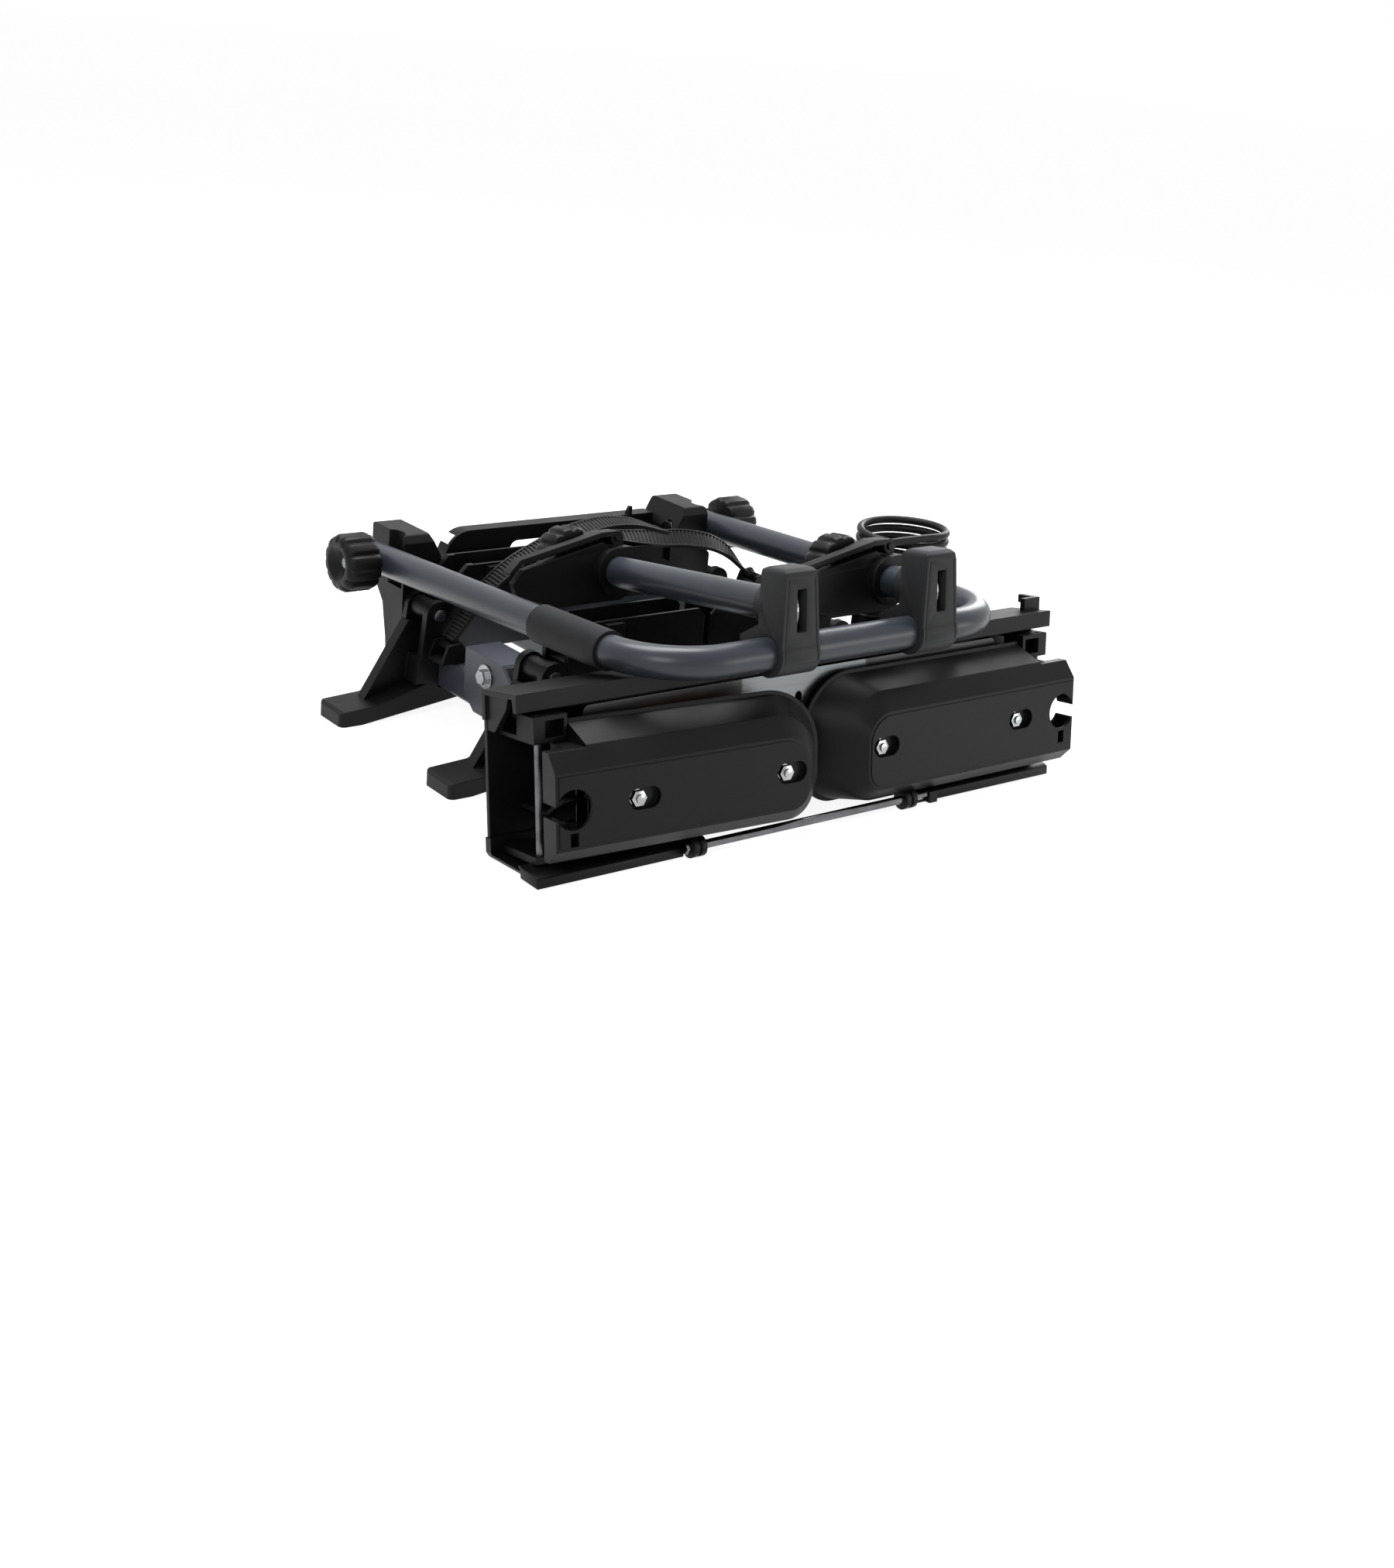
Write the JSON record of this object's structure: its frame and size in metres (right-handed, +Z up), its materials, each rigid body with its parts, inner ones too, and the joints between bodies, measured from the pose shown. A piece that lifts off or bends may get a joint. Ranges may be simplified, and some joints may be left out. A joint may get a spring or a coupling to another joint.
{
  "type": "tow bar bike carrier",
  "caption": "Tow bar bike carrier for two bikes, folded for storage: tube frame over the platform, holder arms, hinged wheel trays and swing-out lights.",
  "frame": {"origin": "on the ground under the middle of the carrier's outline", "axes": "+X across the car, to the right seen from the number plate; +Y from the number plate panel towards the car; +Z up"},
  "size_m": [0.6442, 0.6796, 0.2493],
  "materials": {
    "frame_paint": "satin",
    "beam_paint": "satin",
    "black_plastic": "matte",
    "dark_sleeve": "matte",
    "zinc": "zinc plated",
    "bright_plate": "brushed",
    "lens": "clear red",
    "board": "lacquered",
    "strap": "ribbed",
    "cable": "smooth",
    "castings": "black coated"
  },
  "bodies": {
    "platform": {"long_beams": "beam_paint", "cross_beams": "beam_paint", "beam_brackets": "zinc", "beam_bolts": "zinc", "leg_a_left": "black_plastic", "leg_a_right": "black_plastic", "leg_b_left": "black_plastic", "leg_b_right": "black_plastic", "pivot_block_left": "black_plastic", "pivot_block_right": "black_plastic", "pivot_bolts": "zinc", "rear_cross_member": "black_plastic", "centre_cover": "black_plastic", "tray_hinge_pins": "zinc", "panel_frame": "black_plastic", "plate_backing": "bright_plate", "hinge_rods": "zinc", "light_hinge_brackets": "black_plastic", "plate_rod": "zinc", "light_cables": "cable", "coupling_housing": "castings"},
    "u_frame": {"u_tube": "frame_paint", "tube_sleeve": "dark_sleeve", "lead_gland": "black_plastic", "lead_coil": "cable", "lead_plug": "black_plastic"},
    "knob_left": {"pivot_knob_left": "black_plastic"},
    "knob_right": {"pivot_knob_right": "black_plastic"},
    "tray_a_left": {"tray_a_left": "black_plastic", "wheel_strap_a_left": "strap", "strap_buckle_a_left": "black_plastic"},
    "tray_a_right": {"tray_a_right": "black_plastic", "wheel_strap_a_right": "strap", "strap_buckle_a_right": "black_plastic"},
    "tray_b_left": {"tray_b_left": "black_plastic", "wheel_strap_b_left": "strap", "strap_buckle_b_left": "black_plastic"},
    "tray_b_right": {"tray_b_right": "black_plastic", "wheel_strap_b_right": "strap", "strap_buckle_b_right": "black_plastic"},
    "light_left": {"light_shell_left": "black_plastic", "light_lens_left": "lens", "lamp_board_left": "board", "light_nuts_left": "zinc"},
    "light_right": {"light_shell_right": "black_plastic", "light_lens_right": "lens", "lamp_board_right": "board", "light_nuts_right": "zinc"},
    "coupling_lever": {"coupling_lever": "castings"},
    "coupling_jaw": {"coupling_jaw": "castings"},
    "arm_1": {"arm_clamp_1": "black_plastic", "arm_tube_1": "frame_paint"},
    "head_1": {"head_body_1": "black_plastic"},
    "band_1": {"head_band_1": "black_plastic"},
    "head_knob_1": {"head_knob_1": "black_plastic"},
    "arm_2": {"arm_clamp_2": "black_plastic", "arm_tube_2": "frame_paint"},
    "head_2": {"head_body_2": "black_plastic"},
    "band_2": {"head_band_2": "black_plastic"},
    "head_knob_2": {"head_knob_2": "black_plastic"}
  },
  "joints": [
    {"name": "frame_fold", "type": "hinge", "parent": "platform", "child": "u_frame", "pos_m": [0, 0.1718, 0.148], "axis": [-1, 0, 0], "range_deg": [0, 94]},
    {"name": "pivot_knob_left_turn", "type": "hinge", "parent": "platform", "child": "knob_left", "pos_m": [-0.245, 0.1718, 0.148], "axis": [-1, 0, 0], "continuous": true},
    {"name": "pivot_knob_right_turn", "type": "hinge", "parent": "platform", "child": "knob_right", "pos_m": [0.245, 0.1718, 0.148], "axis": [1, 0, 0], "continuous": true},
    {"name": "arm_1_swing", "type": "hinge", "parent": "u_frame", "child": "arm_1", "pos_m": [-0.068, -0.2872, 0.1766], "axis": [1, 0, 0], "range_deg": [0, 120]},
    {"name": "head_1_turn", "type": "hinge", "parent": "arm_1", "child": "head_1", "pos_m": [-0.068, -0.02231, 0.17631], "axis": [0, 0.9889, -0.1483], "range_deg": [0, 90]},
    {"name": "band_1_open", "type": "hinge", "parent": "head_1", "child": "band_1", "pos_m": [-0.062, 0.00009, 0.20429], "axis": [0, 0.9889, -0.1483], "range_deg": [0, 70]},
    {"name": "head_knob_1_turn", "type": "hinge", "parent": "head_1", "child": "head_knob_1", "pos_m": [-0.068, 0.03208, 0.16815], "axis": [0, 0.9889, -0.1483], "continuous": true},
    {"name": "arm_2_swing", "type": "hinge", "parent": "u_frame", "child": "arm_2", "pos_m": [0.101, -0.2872, 0.1766], "axis": [1, 0, 0], "range_deg": [0, 120]},
    {"name": "head_2_turn", "type": "hinge", "parent": "arm_2", "child": "head_2", "pos_m": [0.101, -0.22307, 0.20642], "axis": [0, 0.9889, -0.1483], "range_deg": [0, 90]},
    {"name": "band_2_open", "type": "hinge", "parent": "head_2", "child": "band_2", "pos_m": [0.107, -0.20067, 0.2344], "axis": [0, 0.9889, -0.1483], "range_deg": [0, 70]},
    {"name": "head_knob_2_turn", "type": "hinge", "parent": "head_2", "child": "head_knob_2", "pos_m": [0.101, -0.16868, 0.19826], "axis": [0, 0.9889, -0.1483], "continuous": true},
    {"name": "light_left_swing", "type": "hinge", "parent": "platform", "child": "light_left", "pos_m": [-0.302, -0.25812, 0.06708], "axis": [0, -0.1483, -0.9889], "range_deg": [-6, 150]},
    {"name": "light_right_swing", "type": "hinge", "parent": "platform", "child": "light_right", "pos_m": [0.302, -0.25812, 0.06708], "axis": [0, 0.1483, 0.9889], "range_deg": [0, 150]},
    {"name": "tray_a_left_fold", "type": "hinge", "parent": "platform", "child": "tray_a_left", "pos_m": [-0.178, 0.1318, 0.104], "axis": [0, -1, 0], "range_deg": [0, 15]},
    {"name": "tray_a_right_fold", "type": "hinge", "parent": "platform", "child": "tray_a_right", "pos_m": [0.178, 0.1318, 0.104], "axis": [0, 1, 0], "range_deg": [0, 24]},
    {"name": "tray_b_left_fold", "type": "hinge", "parent": "platform", "child": "tray_b_left", "pos_m": [-0.178, -0.0722, 0.104], "axis": [0, -1, 0], "range_deg": [0, 4]},
    {"name": "tray_b_right_fold", "type": "hinge", "parent": "platform", "child": "tray_b_right", "pos_m": [0.178, -0.0722, 0.104], "axis": [0, 1, 0], "range_deg": [0, 35]},
    {"name": "coupling_lever_lift", "type": "hinge", "parent": "platform", "child": "coupling_lever", "pos_m": [0, 0.2808, 0.098], "axis": [-1, 0, 0], "range_deg": [0, 60]},
    {"name": "coupling_jaw_slide", "type": "slide", "parent": "platform", "child": "coupling_jaw", "axis": [0, -1, 0], "range_m": [0, 0.006]}
  ],
  "couplings": [
    {"joint": "coupling_jaw_slide", "follows": "coupling_lever_lift", "m_per_rad": 0.0057}
  ]
}
